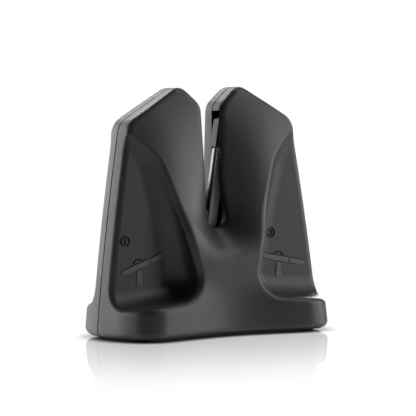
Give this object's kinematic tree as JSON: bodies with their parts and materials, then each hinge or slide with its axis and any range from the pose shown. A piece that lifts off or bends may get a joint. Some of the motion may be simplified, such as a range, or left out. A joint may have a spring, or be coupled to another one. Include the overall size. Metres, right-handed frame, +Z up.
{
  "type": "manual knife sharpener",
  "caption": "Free-standing manual knife sharpener: hollow twin-tower plastic body with a narrow slot between crossed, sprung swinging arms that carry sharpening strips.",
  "frame": {"origin": "on the standing surface, under the middle of the base", "axes": "+X across the two towers, +Y from the front face to the rear, +Z up; millimetre model on the seam plane Y = 0"},
  "size_m": [0.114, 0.0622, 0.1136],
  "materials": {
    "shell": "fine satin grain",
    "plate": "matte",
    "foot": "matte",
    "arm": "satin",
    "guard": "satin",
    "strip": "ground",
    "pin": "ground",
    "bush": "satin",
    "washer": "satin",
    "spring": "drawn wire",
    "screw": "zinc plated"
  },
  "bodies": {
    "housing": {"front_shell": "shell", "rear_shell": "shell", "base_plate": "plate", "shell_screws": "screw", "base_screws": "screw", "front_left_foot": "foot", "front_right_foot": "foot", "rear_left_foot": "foot", "rear_right_foot": "foot", "right_pivot_pin": "pin", "right_washer": "washer", "right_spring": "spring", "left_pivot_pin": "pin", "left_washer": "washer", "left_spring": "spring"},
    "right_arm_unit": {"right_arm": "arm", "right_strip": "strip", "right_tip_guard": "guard", "right_strip_pins": "pin", "right_bush": "bush"},
    "left_arm_unit": {"left_arm": "arm", "left_strip": "strip", "left_tip_guard": "guard", "left_strip_pins": "pin", "left_bush": "bush"}
  },
  "joints": [
    {"name": "right_arm_swing", "type": "hinge", "parent": "housing", "child": "right_arm_unit", "pos_m": [-0.0046, -0.0035, 0.026], "axis": [0, 1, 0], "range_deg": [0, 10], "stiffness_Nm_per_rad": 0.8, "springref_deg": -5.73, "deforming": ["right_spring"]},
    {"name": "left_arm_swing", "type": "hinge", "parent": "housing", "child": "left_arm_unit", "pos_m": [0.0046, 0.0035, 0.026], "axis": [0, -1, 0], "range_deg": [0, 10], "stiffness_Nm_per_rad": 0.8, "springref_deg": -5.73, "deforming": ["left_spring"]}
  ]
}
